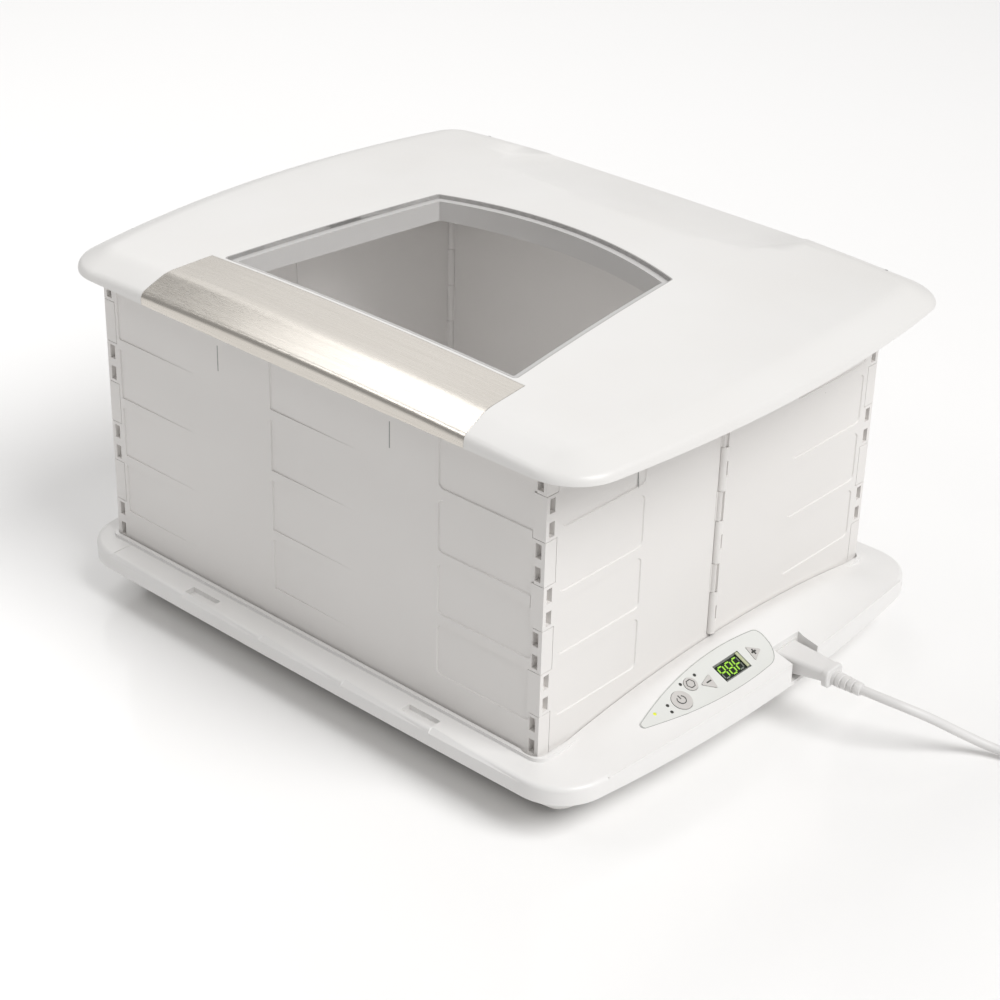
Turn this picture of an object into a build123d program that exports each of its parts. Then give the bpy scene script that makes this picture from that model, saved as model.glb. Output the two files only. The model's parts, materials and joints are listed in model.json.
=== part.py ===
from build123d import *
import math
import os

# Folding dough proofer, in millimetres. A heated base carries a folding wall unit,
# and a domed lid with a window and a steel handle strip stands on the walls.
# Origin: centre of the footprint on the table. +X towards the control ledge,
# -Y towards the front, +Z up.

# Footprint, shared by the base and the lid
half_length = 228.5        # to the middle of the bowed ends
end_bow = 16.0             # how far an end bows out past its corners
half_depth = 184.0
side_bow = 1.5
corner_radius = 34.0

# Base
foot_height = 6.0
foot_radius = 10.0
foot_peg_radius = 3.0
feet_x, feet_y = 175.0, 132.0
rim_bottom_z = 30.0
deck_z = 42.0
skin = 2.5                 # wall of the plastic mouldings
cover_taper = 27.5         # how far the underside draws in
rim_round = 3.2
well_length, well_width = 352.0, 302.0
well_corner = 12.0
well_floor_z = 12.5        # top of the floor of the well
floor_open_length, floor_open_width = 290.0, 240.0
recess_x, recess_y = 97.2, -176.4      # catch recesses in the front flange
recess_length, recess_width, recess_depth = 25.6, 7.6, 3.5
plate_length, plate_width, plate_thickness = 312.0, 262.0, 1.8
element_thickness = 1.0
pad_clearance = 3.0        # heater pads to the floor opening
sensor_radius, sensor_height = 6.0, 2.0
sensor_x, sensor_y = 40.0, 30.0
fuse_radius, fuse_length = 2.0, 16.0

# Folding walls
wall_centre_x = -9.9
wall_length, wall_depth = 374.3, 324.0
wall_height = 198.6
panel = 6.0                # panel thickness
foot_gap = 0.2             # walls to the deck, and lid to the walls
hinge_gap = 0.5            # between two leaves folded flat together
knuckle_pitch = 28.9
knuckle_gap = 0.4          # end play between knuckles
corner_barrel = 3.2
mid_barrel = 3.0
barrel_gap = 0.35
pin_radius = 1.1
pin_play = 0.07            # running fit in the other leaf
pin_press = -0.01          # press fit in the leaf that holds the pin
pin_end = 1.5              # pins stop this far inside the top and bottom
mid_start = 14.0           # the middle hinges begin this far above the wall foot
mid_own, mid_other = 30.0, 20.5
slot_width, slot_height, slot_depth = 4.5, 9.5, 4.2
slot_setback = 5.0         # slot centre from the outer corner
mid_slot_width, mid_slot_depth = 2.2, 1.5
relief_depth = 0.8
relief_pitch, relief_height, relief_first = 42.0, 35.0, 22.5
relief_top_margin = 16.0
relief_corner = 4.0
relief_width = 74.0
relief_columns = (12.0, 153.0, 293.0)   # left edge of each column, from the wall's left

# Locating lip round the foot of the walls
lip_width, lip_height = 2.6, 2.4
lip_gap_end, lip_gap_side = 3.0, 1.3
lip_corner = 6.0

# Control ledge: heights above the deck at steps away from the wall
ledge_gap = 0.95
ledge_centre_y, ledge_half_span = 6.0, 152.0
ledge_steps = (0.0, 8.0, 12.0, 16.0, 20.0, 27.0, 38.0, 51.3)
ledge_heights = (12.0, 16.6, 17.8, 17.7, 16.2, 12.4, 7.2, 4.0)
ledge_edge_drop = 0.6
control_slope = 28.0       # degrees, of the face that carries the controls
panel_thickness = 1.2      # of the control panel's inlay
inlay_gap, inlay_bed = 0.15, 0.02   # round the panel's edge and under it
board_depth = 12.0         # control board below the face
board_width, board_length, board_thickness = 29.0, 104.4, 1.6
board_y = -36.8
board_boss_radius = 2.6
display_x, display_y = 208.3, -17.4
display_width, display_length = 13.2, 24.6
display_seat = 1.0         # how far the lens laps over its opening
display_drop = 1.8         # of the display's face below the ledge
power_x, power_y, power_radius = 207.4, -65.8, 6.8
mode_x, mode_y, mode_radius = 203.0, -51.9, 4.6
minus_x, minus_y = 208.3, -40.3
plus_x, plus_y = 208.4, 4.4
arrow_side = 11.0
button_gap = 0.25
button_proud = 0.5
button_travel = 0.6
button_depth = 4.4         # foot of a cap, with its collar, below the ledge
collar_height, collar_reach = 0.9, 0.9
stem_radius = 1.6
switch_side, switch_height = 6.0, 3.5
led_spots = ((204.1, -87.3), (204.8, -76.2), (209.4, -77.6), (199.6, -57.7), (200.1, -44.6))
led_radius = 1.1

# Mains inlet in the right end of the base
inlet_y = 33.0
notch_width, notch_bottom_z, notch_face_x = 28.0, 32.5, 212.0
inlet_width, inlet_height, inlet_depth = 18.0, 12.0, 20.0
inlet_wall = 2.0
inlet_z = 40.0
inlet_pin_radius, inlet_pin_spread = 1.2, 8.0
connector_width, connector_height, connector_length = 22.0, 13.4, 37.5
connector_end_width, connector_end_height, connector_rise = 16.0, 8.8, 2.3
collar_length, collar_width_end, collar_height_end = 4.0, 17.5, 12.6
connector_nose = 15.0
nose_gap = 0.25
relief_length = 20.0
cord_radius = 3.0

# Rack and water tray
rack_length, rack_width = 326.0, 276.0
rack_corner = 18.0
rack_frame_wire, rack_wire = 2.0, 1.25
rack_top_z = 38.0
rack_wire_count = 13
rest_gap = 0.05            # under the rack's legs and the water tray
leg_inset = 22.0
tray_length, tray_width, tray_height = 165.0, 100.0, 13.0
tray_wall = 1.0
tray_corner = 12.0
tray_rim = 3.0

# Lid
lid_bottom_z = 238.0
crown_z = 259.4            # top of the dome
crown_y = -28.0
crown_radius_x, crown_radius_y = 3500.0, 3200.0
bevel_reach, bevel_drop = 20.0, 7.8     # the bevel all round the lid
bevel_edge, bevel_crease = 6.0, 30.0    # radii at its foot and its top
lid_skin = 2.4
scoop_depth = 10.0         # finger recess in the back edge
scoop_reach = 74.0
scoop_half, scoop_run, scoop_rise = 108.0, 45.0, 14.0
scoop_x = -10.0
trim_half_length, trim_taper, trim_depth = 134.5, 4.5, 55.2
trim_thickness, trim_gap = 1.0, 0.15
window_front, window_front_half = -126.0, 120.6
window_back, window_back_half = 42.5, 98.4
window_bow = 17.5
window_corner = 2.0
window_recess, window_thickness = 0.3, 2.4
gasket_width, gasket_recess = 0.9, 0.15
collar_width = 5.0         # how far the collar reaches in under the window
liner_thickness = 1.8
liner_gap = 0.4
lug_length, lug_width, lug_height = 40.0, 3.0, 2.2
lug_gap = 0.9
lug_x, lug_y = 100.0, 80.0
lid_screw_spots = ((-170.0, -171.5), (0.0, -171.5), (170.0, -171.5), (-170.0, 171.5), (170.0, 171.5))
lid_screw_grip = 2.8

# Screws
screw_radius, screw_head_radius, screw_head_height = 1.5, 3.0, 1.6
screw_length = 8.0
screw_play = 0.06
boss_radius = 3.6
cover_screw_spots = ((-193.0, -40.0), (-193.0, 40.0), (182.0, -120.0), (182.0, 120.0))
cover_boss_radius = 3.0

# Worked out from the sizes above
cover_floor_z = foot_height
wall_bottom_z = deck_z + foot_gap
wall_top_z = wall_bottom_z + wall_height
wall_left, wall_right = wall_centre_x - wall_length / 2, wall_centre_x + wall_length / 2
pin_inset = panel + hinge_gap / 2
pin_left, pin_right = wall_left + pin_inset, wall_right - pin_inset
pin_front, pin_back = -wall_depth / 2 + pin_inset, wall_depth / 2 - pin_inset
mid_out = hinge_gap / 2
ledge_x = wall_right + ledge_gap
liner_z = wall_top_z + foot_gap
seat_z = well_floor_z + plate_thickness


def column(cx, cy, radius, low, high):
    return Pos(cx, cy, (low + high) / 2) * Cylinder(radius, high - low)


def block(x0, x1, y0, y1, z0, z1):
    return Pos((x0 + x1) / 2, (y0 + y1) / 2, (z0 + z1) / 2) * Box(x1 - x0, y1 - y0, z1 - z0)


def rounded_block(cx, cy, length, width, radius, low, high):
    outline = Pos(cx, cy, low) * RectangleRounded(length, width, radius)
    return extrude(outline, amount=high - low)


def arc_radius(half_chord, bow):
    return (half_chord**2 + bow**2) / (2 * bow)


def footprint(inset=0.0):
    """The outline of base and lid: four bowed sides with rounded corners. An inset
    keeps every side parallel to itself."""
    x, y = half_length - end_bow, half_depth - side_bow
    end_radius, side_radius = arc_radius(y, end_bow), arc_radius(x, side_bow)
    back_x, down_y = end_radius - half_length, side_radius - half_depth
    r1, r2 = end_radius - inset, side_radius - inset
    apart = math.hypot(back_x, down_y)
    along = (r1**2 - r2**2 + apart**2) / (2 * apart)
    aside = math.sqrt(r1**2 - along**2)
    x = -back_x + (along * back_x + aside * down_y) / apart
    y = (aside * back_x - along * down_y) / apart
    length, depth = half_length - inset, half_depth - inset
    sides = [
        ThreePointArc((x, -y), (length, 0), (x, y)),
        ThreePointArc((x, y), (0, depth), (-x, y)),
        ThreePointArc((-x, y), (-length, 0), (-x, -y)),
        ThreePointArc((-x, -y), (0, -depth), (x, -y)),
    ]
    face = make_face(sides)
    return fillet(face.vertices(), max(corner_radius - inset, corner_radius / 4))


def prism(inset, low, high):
    return extrude(Pos(0, 0, low) * footprint(inset), amount=high - low)


# The control ledge

def ledge_section(x, height, drop=0.0):
    """Cross-section of the ledge at x: an arch over the deck."""
    y0, y1 = ledge_centre_y - ledge_half_span, ledge_centre_y + ledge_half_span
    end, top = deck_z - ledge_edge_drop - drop, deck_z + height - drop
    low = rim_bottom_z - drop
    arch = ThreePointArc((x, y0, end), (x, ledge_centre_y, top), (x, y1, end))
    rest = Polyline((x, y1, end), (x, y1, low), (x, y0, low), (x, y0, end))
    return make_face([arch, *rest.edges()])


def ledge_form(drop=0.0):
    sections = [ledge_section(ledge_x + s, h, drop) for s, h in zip(ledge_steps, ledge_heights)]
    return loft(sections, ruled=True)


def ledge_height(x, y):
    """Height of the ledge's surface above the table."""
    step = x - ledge_x
    pairs = list(zip(ledge_steps, ledge_heights))
    for (s0, h0), (s1, h1) in zip(pairs, pairs[1:]):
        if s0 <= step <= s1:
            height = h0 + (h1 - h0) * (step - s0) / (s1 - s0)
            break
    sag = height + ledge_edge_drop
    radius = (ledge_half_span**2 + sag**2) / (2 * sag)
    across = y - ledge_centre_y
    return deck_z + height - radius + math.sqrt(radius**2 - across**2)


control_axis = (math.sin(math.radians(control_slope)), 0, math.cos(math.radians(control_slope)))


def on_ledge(x, y):
    """A frame on the ledge's surface: its z is square to the control face."""
    return Location(Plane(origin=(x, y, ledge_height(x, y)), x_dir=(0, 1, 0), z_dir=control_axis))


def leaf(growth=0.0):
    """The control panel's leaf outline, as a tall prism. Growth moves each side out."""
    g = growth
    tip, heel, toe = (204.8, -107.0 - 3 * g), (220.4 + g, 5.0 + g / 2), (197.5 - g / 2, 20.0 + g)
    sides = [
        ThreePointArc(tip, (219.0 + g, -52.0), heel),
        ThreePointArc(heel, (213.0 + g / 3, 18.5 + g), toe),
        ThreePointArc(toe, (194.0 - g, -26.0), tip),
    ]
    face = make_face(sides)
    front, *back = face.vertices().sort_by(Axis.Y)
    face = fillet(front, 2.5)
    face = fillet([v for v in face.vertices() if v.Y > 0], 6.0)
    return extrude(Pos(0, 0, deck_z - 10) * face, amount=60)


def above_board(x, y):
    """Height of the ledge above the control board's top face, square to it."""
    run, rise = x - display_x, ledge_height(x, y) - ledge_height(display_x, board_y)
    return board_depth + run * control_axis[0] + rise * control_axis[2]


def on_board(x, y):
    """A frame on the control board's top face, under a point of the ledge."""
    return on_ledge(x, y) * Pos(0, 0, -above_board(x, y))


def arrow(growth, turn):
    """Rounded triangle for the two arrow buttons."""
    face = RegularPolygon(arrow_side / math.sqrt(3) + growth, 3, rotation=turn)
    return fillet(face.vertices(), 0.8)


buttons = {
    "power_button": (power_x, power_y, lambda growth: Circle(power_radius + growth)),
    "mode_button": (mode_x, mode_y, lambda growth: Circle(mode_radius + growth)),
    "minus_button": (minus_x, minus_y, lambda growth: arrow(growth, 47)),
    "plus_button": (plus_x, plus_y, lambda growth: arrow(growth, -7)),
}


def button_hole(x, y, outline):
    """Straight hole through the ledge's skin for a button's cap."""
    return on_ledge(x, y) * Pos(0, 0, -button_depth) * extrude(outline(button_gap), amount=10)


def button(x, y, outline):
    """Cap that follows the ledge's surface, with a collar under the skin and a stem."""
    place = on_ledge(x, y)
    cap = place * Pos(0, 0, -button_depth) * extrude(outline(0), amount=button_depth + 5)
    cap &= ledge_form(-button_proud)
    collar = place * Pos(0, 0, -button_depth) * extrude(outline(collar_reach), amount=collar_height)
    top = above_board(x, y)
    length = top - button_depth - switch_height - button_travel - 0.1
    stem = place * Pos(0, 0, -button_depth - length / 2) * Cylinder(stem_radius, length)
    return cap + collar + stem


# Base

def base_tray():
    well_x = (wall_centre_x, 0)
    outer = prism(0, rim_bottom_z, deck_z)
    rim = outer.edges().group_by(Axis.Z)[-1]
    outer = fillet(rim, rim_round)
    ledge = ledge_form() & prism(0.1, rim_bottom_z, deck_z + 40)
    well = rounded_block(*well_x, well_length + 2 * skin, well_width + 2 * skin,
                         well_corner + skin, well_floor_z - skin, deck_z)
    body = outer + ledge + well
    under = prism(skin, rim_bottom_z - 1, deck_z - skin)
    under_ledge = (ledge_form(skin) & prism(skin + 0.1, rim_bottom_z - skin, deck_z + 40)
                   & block(ledge_x + skin, half_length, -half_depth, half_depth, 0, deck_z + 40))
    body -= (under + under_ledge) - well
    body -= rounded_block(*well_x, well_length, well_width, well_corner, well_floor_z, deck_z + 1)
    body -= rounded_block(*well_x, floor_open_length, floor_open_width, well_corner, 0, deck_z)

    # lip that locates the walls, clear of the sweep of the corner knuckles
    inner_l, inner_w = wall_length + 2 * lip_gap_end, wall_depth + 2 * lip_gap_side
    lip = rounded_block(*well_x, inner_l + 2 * lip_width, inner_w + 2 * lip_width,
                        lip_corner + lip_width, deck_z, deck_z + lip_height)
    lip -= rounded_block(*well_x, inner_l, inner_w, lip_corner, deck_z, deck_z + lip_height)
    body += lip
    swing = math.hypot(pin_inset, pin_inset) + barrel_gap
    for y in (pin_front, pin_back):
        body -= column(pin_right, y, swing + 0.2, deck_z, deck_z + 30)

    # pillars for the cover's screws
    for x, y in cover_screw_spots:
        body += column(x, y, cover_boss_radius, cover_floor_z + skin, deck_z - 1)
        body -= column(x, y, screw_radius + screw_play, 0, cover_floor_z + skin + screw_length)

    # catch recesses in the front flange, and the joint line of its end piece
    for x in (-recess_x, recess_x):
        x0, x1 = x - recess_length / 2, x + recess_length / 2
        y0, y1 = recess_y - recess_width / 2, recess_y + recess_width / 2
        body += block(x0 - 2, x1 + 2, y0 - 2, y1 + 2, deck_z - recess_depth - 2, deck_z - 1)
        body -= block(x0, x1, y0, y1, deck_z - recess_depth, deck_z + 1)
    body -= block(-181, -180.4, -half_depth, -wall_depth / 2 - 5, deck_z - 0.4, deck_z + 1)
    return body


def notch():
    return block(notch_face_x, half_length + 5, inlet_y - notch_width / 2, inlet_y + notch_width / 2,
                 notch_bottom_z, deck_z + 30)


def notch_walls():
    walls = block(notch_face_x - skin, half_length + 5, inlet_y - notch_width / 2 - skin,
                  inlet_y + notch_width / 2 + skin, notch_bottom_z - skin, deck_z + 30)
    return walls & ledge_form() & prism(0.1, rim_bottom_z, deck_z + 40)


def inlet_block(growth=0.0):
    return block(notch_face_x - inlet_depth, notch_face_x + 1.0,
                 inlet_y - inlet_width / 2 - growth, inlet_y + inlet_width / 2 + growth,
                 inlet_z - inlet_height / 2 - growth, inlet_z + inlet_height / 2 + growth)


def finished_tray():
    body = base_tray() + notch_walls()
    body -= notch()
    body -= inlet_block(0.1)
    body -= leaf(inlay_gap) - ledge_form(panel_thickness + inlay_bed)
    for x, y, outline in buttons.values():
        body -= button_hole(x, y, outline)
    opening = display_length - 2 * display_seat, display_width - 2 * display_seat
    body -= on_ledge(display_x, display_y) * Box(*opening, 14)
    for x, y in led_spots:
        body -= on_ledge(x, y) * Cylinder(led_radius + 0.1, 14)
    for x, y in board_holes():
        height = above_board(x, y)
        boss = on_board(x, y) * Pos(0, 0, height / 2) * Cylinder(board_boss_radius, height)
        body += boss & ledge_form(panel_thickness + 0.2)
        body -= on_board(x, y) * Pos(0, 0, 3) * Cylinder(screw_radius + screw_play, 6)
    return body


def board_holes():
    reach_x = (board_width / 2 - 4) * math.cos(math.radians(control_slope))
    reach_y = board_length / 2 - 4
    return [(display_x + i * reach_x, board_y + j * reach_y) for i in (-1, 1) for j in (-1, 1)]


def bottom_cover():
    def pan(inset, taper, low, high):
        return loft([Pos(0, 0, low) * footprint(inset + taper), Pos(0, 0, high) * footprint(inset)])

    body = pan(0.8, cover_taper, cover_floor_z, rim_bottom_z)
    body -= pan(0.8 + skin, cover_taper, cover_floor_z + skin, rim_bottom_z)
    for x, y in cover_screw_spots:
        body -= column(x, y, screw_radius + 0.3, 0, rim_bottom_z)
    for x in (-feet_x, feet_x):
        for y in (-feet_y, feet_y):
            body -= column(x, y, foot_peg_radius + 0.05, 0, rim_bottom_z)
    return body


def feet():
    pads = []
    for x in (-feet_x, feet_x):
        for y in (-feet_y, feet_y):
            pad = column(x, y, foot_radius, 0, foot_height)
            pad = chamfer(pad.edges().group_by(Axis.Z)[0], 1.0)
            pads.append(pad + column(x, y, foot_peg_radius, foot_height, foot_height + skin))
    return Compound(pads)


def screw(x, y, head_z, length=screw_length):
    """Pan-head screw, driven upwards, with its head below head_z."""
    body = column(x, y, screw_head_radius, head_z - screw_head_height, head_z)
    body = chamfer(body.edges().group_by(Axis.Z)[0], 0.5)
    return body + column(x, y, screw_radius, head_z, head_z + length)


def cover_screws():
    return Compound([screw(x, y, cover_floor_z) for x, y in cover_screw_spots])


def heater_plate():
    body = rounded_block(wall_centre_x, 0, plate_length, plate_width, 8, well_floor_z, seat_z)
    return body


def heating_element():
    length, width = floor_open_length - 2 * pad_clearance, floor_open_width - 2 * pad_clearance
    body = rounded_block(wall_centre_x, 0, length, width, 6, well_floor_z - element_thickness,
                         well_floor_z)
    body -= column(sensor_x, sensor_y, sensor_radius + 2, 0, deck_z)
    return body


def insulation_pad():
    length, width = floor_open_length - 2 * pad_clearance, floor_open_width - 2 * pad_clearance
    body = rounded_block(wall_centre_x, 0, length, width, 6, cover_floor_z + skin,
                         well_floor_z - element_thickness)
    body -= column(sensor_x, sensor_y, sensor_radius + 2, 0, deck_z)
    body -= fuse_space()
    return body


def fuse_space():
    return block(-sensor_x - fuse_length / 2 - 1, -sensor_x + fuse_length / 2 + 1,
                 sensor_y - 3, sensor_y + 3, 0, well_floor_z - element_thickness)


def temperature_sensor():
    return column(sensor_x, sensor_y, sensor_radius, well_floor_z - sensor_height, well_floor_z)


def thermal_fuse():
    z = well_floor_z - element_thickness - fuse_radius / 1.5
    return Pos(-sensor_x, sensor_y, z) * Rot(0, 90, 0) * Cylinder(fuse_radius / 1.5, fuse_length)


# Control panel

def control_panel():
    body = leaf() & (ledge_form() - ledge_form(panel_thickness))
    for x, y, outline in buttons.values():
        body -= button_hole(x, y, outline)
    body -= on_ledge(display_x, display_y) * Box(display_length, display_width, 10)
    for x, y in led_spots:
        body -= on_ledge(x, y) * Cylinder(led_radius + 0.05, 10)
    return body


def display_lens():
    block_in_place = on_ledge(display_x, display_y) * Box(display_length, display_width, 10)
    return block_in_place & (ledge_form(0.1) - ledge_form(panel_thickness))


def display_module():
    height = above_board(display_x, display_y) - display_drop
    size = display_length - 2 * display_seat - 0.4, display_width - 2 * display_seat - 0.4, height
    return on_board(display_x, display_y) * Pos(0, 0, height / 2) * Box(*size)


digit_height, digit_width, digit_bar = 8.4, 4.4, 0.9
segments = {
    "a": (0, 1, 1), "b": (1, 0.5, 0), "c": (1, -0.5, 0), "d": (0, -1, 1),
    "e": (-1, -0.5, 0), "f": (-1, 0.5, 0), "g": (0, 0, 1),
}
readout = ("abcfg", "abcdefg", "aefg")


def display_digits():
    """Three seven-bar figures on the display's face."""
    place = on_ledge(display_x, display_y) * Pos(0, 0, 0.1 - display_drop)
    bars = []
    for n, lit in enumerate(readout):
        centre = (n - 1) * (digit_width + 2.6)
        for name in lit:
            sx, sy, flat = segments[name]
            size = (digit_width - 1.3, digit_bar) if flat else (digit_bar, digit_height / 2 - 1.0)
            spot = Pos(centre + sx * digit_width / 2, sy * digit_height / 2, 0)
            bars.append(place * spot * Box(*size, 0.2))
    return Compound(bars)


def indicator_leds():
    """Light pipes from the board up to the ledge's surface."""
    lamps = []
    for x, y in led_spots:
        height = above_board(x, y) - 0.1
        lamps.append(on_board(x, y) * Pos(0, 0, height / 2) * Cylinder(led_radius, height))
    return Compound(lamps)


def control_board():
    place = on_board(display_x, board_y)
    body = place * Pos(0, 0, -board_thickness / 2) * Box(board_length, board_width, board_thickness)
    for x, y in board_holes():
        body -= on_board(x, y) * Cylinder(screw_radius + 0.2, 8)
    return body


def board_screws():
    group = []
    for x, y in board_holes():
        place = on_board(x, y) * Pos(0, 0, -board_thickness)
        shank = Pos(0, 0, 2.6) * Cylinder(screw_radius, 5.2)
        head = Pos(0, 0, -0.8) * Cylinder(screw_head_radius - 0.2, 1.6)
        group.append(place * (shank + head))
    return Compound(group)


def button_switches():
    group = []
    for x, y, _ in buttons.values():
        body = on_board(x, y) * Pos(0, 0, switch_height / 2) * Box(switch_side, switch_side, switch_height)
        group.append(body)
    return Compound(group)


# Mains inlet and cord

def power_inlet():
    body = inlet_block()
    body -= block(notch_face_x - inlet_depth + inlet_wall, notch_face_x + 2,
                  inlet_y - inlet_width / 2 + inlet_wall, inlet_y + inlet_width / 2 - inlet_wall,
                  inlet_z - inlet_height / 2 + inlet_wall, inlet_z + inlet_height / 2 - inlet_wall)
    flange = block(notch_face_x, notch_face_x + 1.0, inlet_y - inlet_width / 2 - 2,
                   inlet_y + inlet_width / 2 + 2, notch_bottom_z + 0.3, inlet_z + inlet_height / 2 + 1.5)
    flange -= inlet_block(-inlet_wall)
    body += flange
    for y in (inlet_y - inlet_pin_spread / 2, inlet_y + inlet_pin_spread / 2):
        body -= Pos(notch_face_x - inlet_depth, y, inlet_z) * Rot(0, 90, 0) * Cylinder(inlet_pin_radius, 8)
    return body


def inlet_pins():
    pins = []
    start, length = notch_face_x - inlet_depth - 3, inlet_depth
    for y in (inlet_y - inlet_pin_spread / 2, inlet_y + inlet_pin_spread / 2):
        pin = Pos(start + length / 2, y, inlet_z) * Rot(0, 90, 0) * Cylinder(inlet_pin_radius, length)
        pins.append(pin)
    return Compound(pins)


connector_start = notch_face_x + 1.0
connector_end = connector_start + connector_length


def cord_connector():
    def section(x, width, height, z, radius):
        plane = Plane(origin=(x, inlet_y, z), x_dir=(0, 1, 0), z_dir=(1, 0, 0))
        return plane * RectangleRounded(width, height, radius)

    start, waist = connector_start, connector_end - collar_length
    body = loft([section(start, connector_width, connector_height, inlet_z, 3.0),
                 section(waist, connector_end_width, connector_end_height, inlet_z + connector_rise, 3.0)])
    collar = section(waist, collar_width_end, collar_height_end, inlet_z + 1, 4.0)
    collar = extrude(collar, amount=collar_length)
    collar = fillet(collar.faces().sort_by(Axis.X)[-1].edges(), 1.2)
    body += collar
    half_w = inlet_width / 2 - inlet_wall - nose_gap
    half_h = inlet_height / 2 - inlet_wall - nose_gap
    nose = block(start - connector_nose, start, inlet_y - half_w, inlet_y + half_w,
                 inlet_z - half_h, inlet_z + half_h)
    body += nose
    for y in (inlet_y - inlet_pin_spread / 2, inlet_y + inlet_pin_spread / 2):
        hole = Pos(start - connector_nose, y, inlet_z) * Rot(0, 90, 0)
        body -= hole * Cylinder(inlet_pin_radius + 0.1, 2 * connector_nose - 4)
    return body


def strain_relief():
    """Tapered sleeve with a ring of ribs, over the cord's first stretch."""
    profile = [(0, 0), (0, 4.8), (2, 4.8)]
    rib = (relief_length - 3) / 4
    for n in range(4):
        x = 2 + n * rib
        outer = 4.9 - 0.2 * n
        profile += [(x, outer - 0.8), (x + 1.3, outer - 0.8), (x + 1.3, outer), (x + rib - 0.2, outer)]
    profile += [(relief_length, 3.7), (relief_length, 0)]
    flat = [(connector_end + px, py) for px, py in profile]
    face = make_face(Polyline(*[(x, y, 0) for x, y in flat], close=True))
    body = revolve(face, Axis((0, 0, 0), (1, 0, 0)), 360)
    return Pos(0, inlet_y, inlet_z) * body


# The cord's route after the strain relief, down to the table and out to its coil
cord_points = [
    (connector_end + relief_length - 3, 33.0, 40.0), (293.0, 39.0, 37.0), (309.0, 52.0, 28.5),
    (322.0, 67.0, 16.5), (337.0, 80.0, 6.5), (358.0, 87.0, 3.2), (382.0, 85.5, 3.1), (405.0, 79.0, 3.0),
]
coil_x, coil_y = 416.0, 117.0
coil_mean, coil_width, coil_height = 33.0, 18.0, 12.0
tail_points = [(383.0, 117.0, 3.0), (383.5, 138.0, 3.1), (391.0, 157.0, 3.0), (404.0, 171.0, 6.0)]


def cord_tube(points):
    """Straight runs joined by arcs as large as the runs allow."""
    places = [Vector(*p) for p in points]
    radii = []
    for before, here, after in zip(places, places[1:], places[2:]):
        run_in, run_out = here - before, after - here
        turn = math.radians(run_in.get_angle(run_out))
        radii.append(0.45 * min(run_in.length, run_out.length) / math.tan(turn / 2))
    path = FilletPolyline(*points, radius=radii)
    start = Plane(origin=places[0], z_dir=places[1] - places[0])
    tube = sweep(start * Circle(cord_radius), path=path)
    print("cord radii", [round(r) for r in radii], "length", round(path.length),
          "volume ratio", round(tube.volume / (math.pi * cord_radius**2 * path.length), 4))
    return tube


def cord_coil():
    section = Pos(coil_mean, coil_height / 2) * RectangleRounded(coil_width, coil_height, 2.5)
    ring = revolve(Plane.XZ * section, Axis.Z, 360)
    return Pos(coil_x, coil_y, 0) * ring


def coil_tie():
    size = coil_width + 3, 6.0, coil_height + 1.5
    band = Pos(coil_x + coil_mean, coil_y, size[2] / 2) * Box(size[0], size[1], size[2])
    return band - cord_coil()


plug_length, plug_width, plug_height = 32.0, 22.0, 14.0


def plug_place():
    end, before = Vector(*tail_points[-1]), Vector(*tail_points[-2])
    flat = Vector(end.X - before.X, end.Y - before.Y, 0)
    return Location(Plane(origin=(end.X, end.Y, plug_height / 2), x_dir=flat, z_dir=(0, 0, 1)))


def mains_plug():
    body = Pos(plug_length / 2 - 1.5, 0, 0) * Box(plug_length + 3, plug_width, plug_height)
    body = fillet(body.edges().filter_by(Axis.X), 3.0)
    for y in (-6.35, 6.35):
        body -= Pos(plug_length, y, 0) * Box(12, 1.6, 6.4)
    return plug_place() * body


def plug_blades():
    blades = [Pos(plug_length + 6, y, 0) * Box(24, 1.5, 6.3) for y in (-6.35, 6.35)]
    return plug_place() * Compound(blades)


# Rack and tray

def wire_rack():
    length, width = rack_length, rack_width
    z = rack_top_z - 2 * rack_wire - rack_frame_wire
    loop = Pos(wall_centre_x, 0, z) * RectangleRounded(length, width, rack_corner)
    path = loop.wires()[0]
    start = Plane(origin=path @ 0, z_dir=path % 0)
    body = sweep(start * Circle(rack_frame_wire), path=path)
    sink = 0.3
    wire_z = z + rack_frame_wire + rack_wire - sink
    for n in range(rack_wire_count):
        x = wall_centre_x + (n - (rack_wire_count - 1) / 2) * length / (rack_wire_count + 1)
        body += Pos(x, 0, wire_z) * Rot(90, 0, 0) * Cylinder(rack_wire, width)
    for y in (-width / 4, width / 4):
        body += Pos(wall_centre_x, y, z) * Rot(0, 90, 0) * Cylinder(rack_frame_wire, length)
    for x in (-length / 2 + leg_inset, length / 2 - leg_inset):
        for y in (-width / 2, width / 2):
            body += column(wall_centre_x + x, y, rack_frame_wire, well_floor_z + rest_gap, z)
    return body


def water_tray():
    low, high = seat_z + rest_gap, seat_z + rest_gap + tray_height
    body = rounded_block(wall_centre_x, 0, tray_length, tray_width, tray_corner, low, high)
    body = fillet(body.edges().group_by(Axis.Z)[0], 3.0)
    rim = rounded_block(wall_centre_x, 0, tray_length + 2 * tray_rim, tray_width + 2 * tray_rim,
                        tray_corner + tray_rim, high - tray_wall, high)
    body += rim
    inside = rounded_block(wall_centre_x, 0, tray_length - 2 * tray_wall, tray_width - 2 * tray_wall,
                           tray_corner - tray_wall, low + tray_wall, high + 1)
    inside = fillet(inside.edges().group_by(Axis.Z)[0], 2.0)
    return body - inside


# Folding walls

def levels():
    """Corner knuckles from the foot up: (bottom, top, belongs to the end panel)."""
    count = math.ceil(wall_height / knuckle_pitch)
    rows = []
    for n in range(count):
        low = wall_bottom_z + n * knuckle_pitch + (knuckle_gap / 2 if n else 0)
        top = min((n + 1) * knuckle_pitch, wall_height)
        high = wall_bottom_z + top - (knuckle_gap / 2 if n < count - 1 else 0)
        rows.append((low, high, n % 2 == 0))
    return rows


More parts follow.
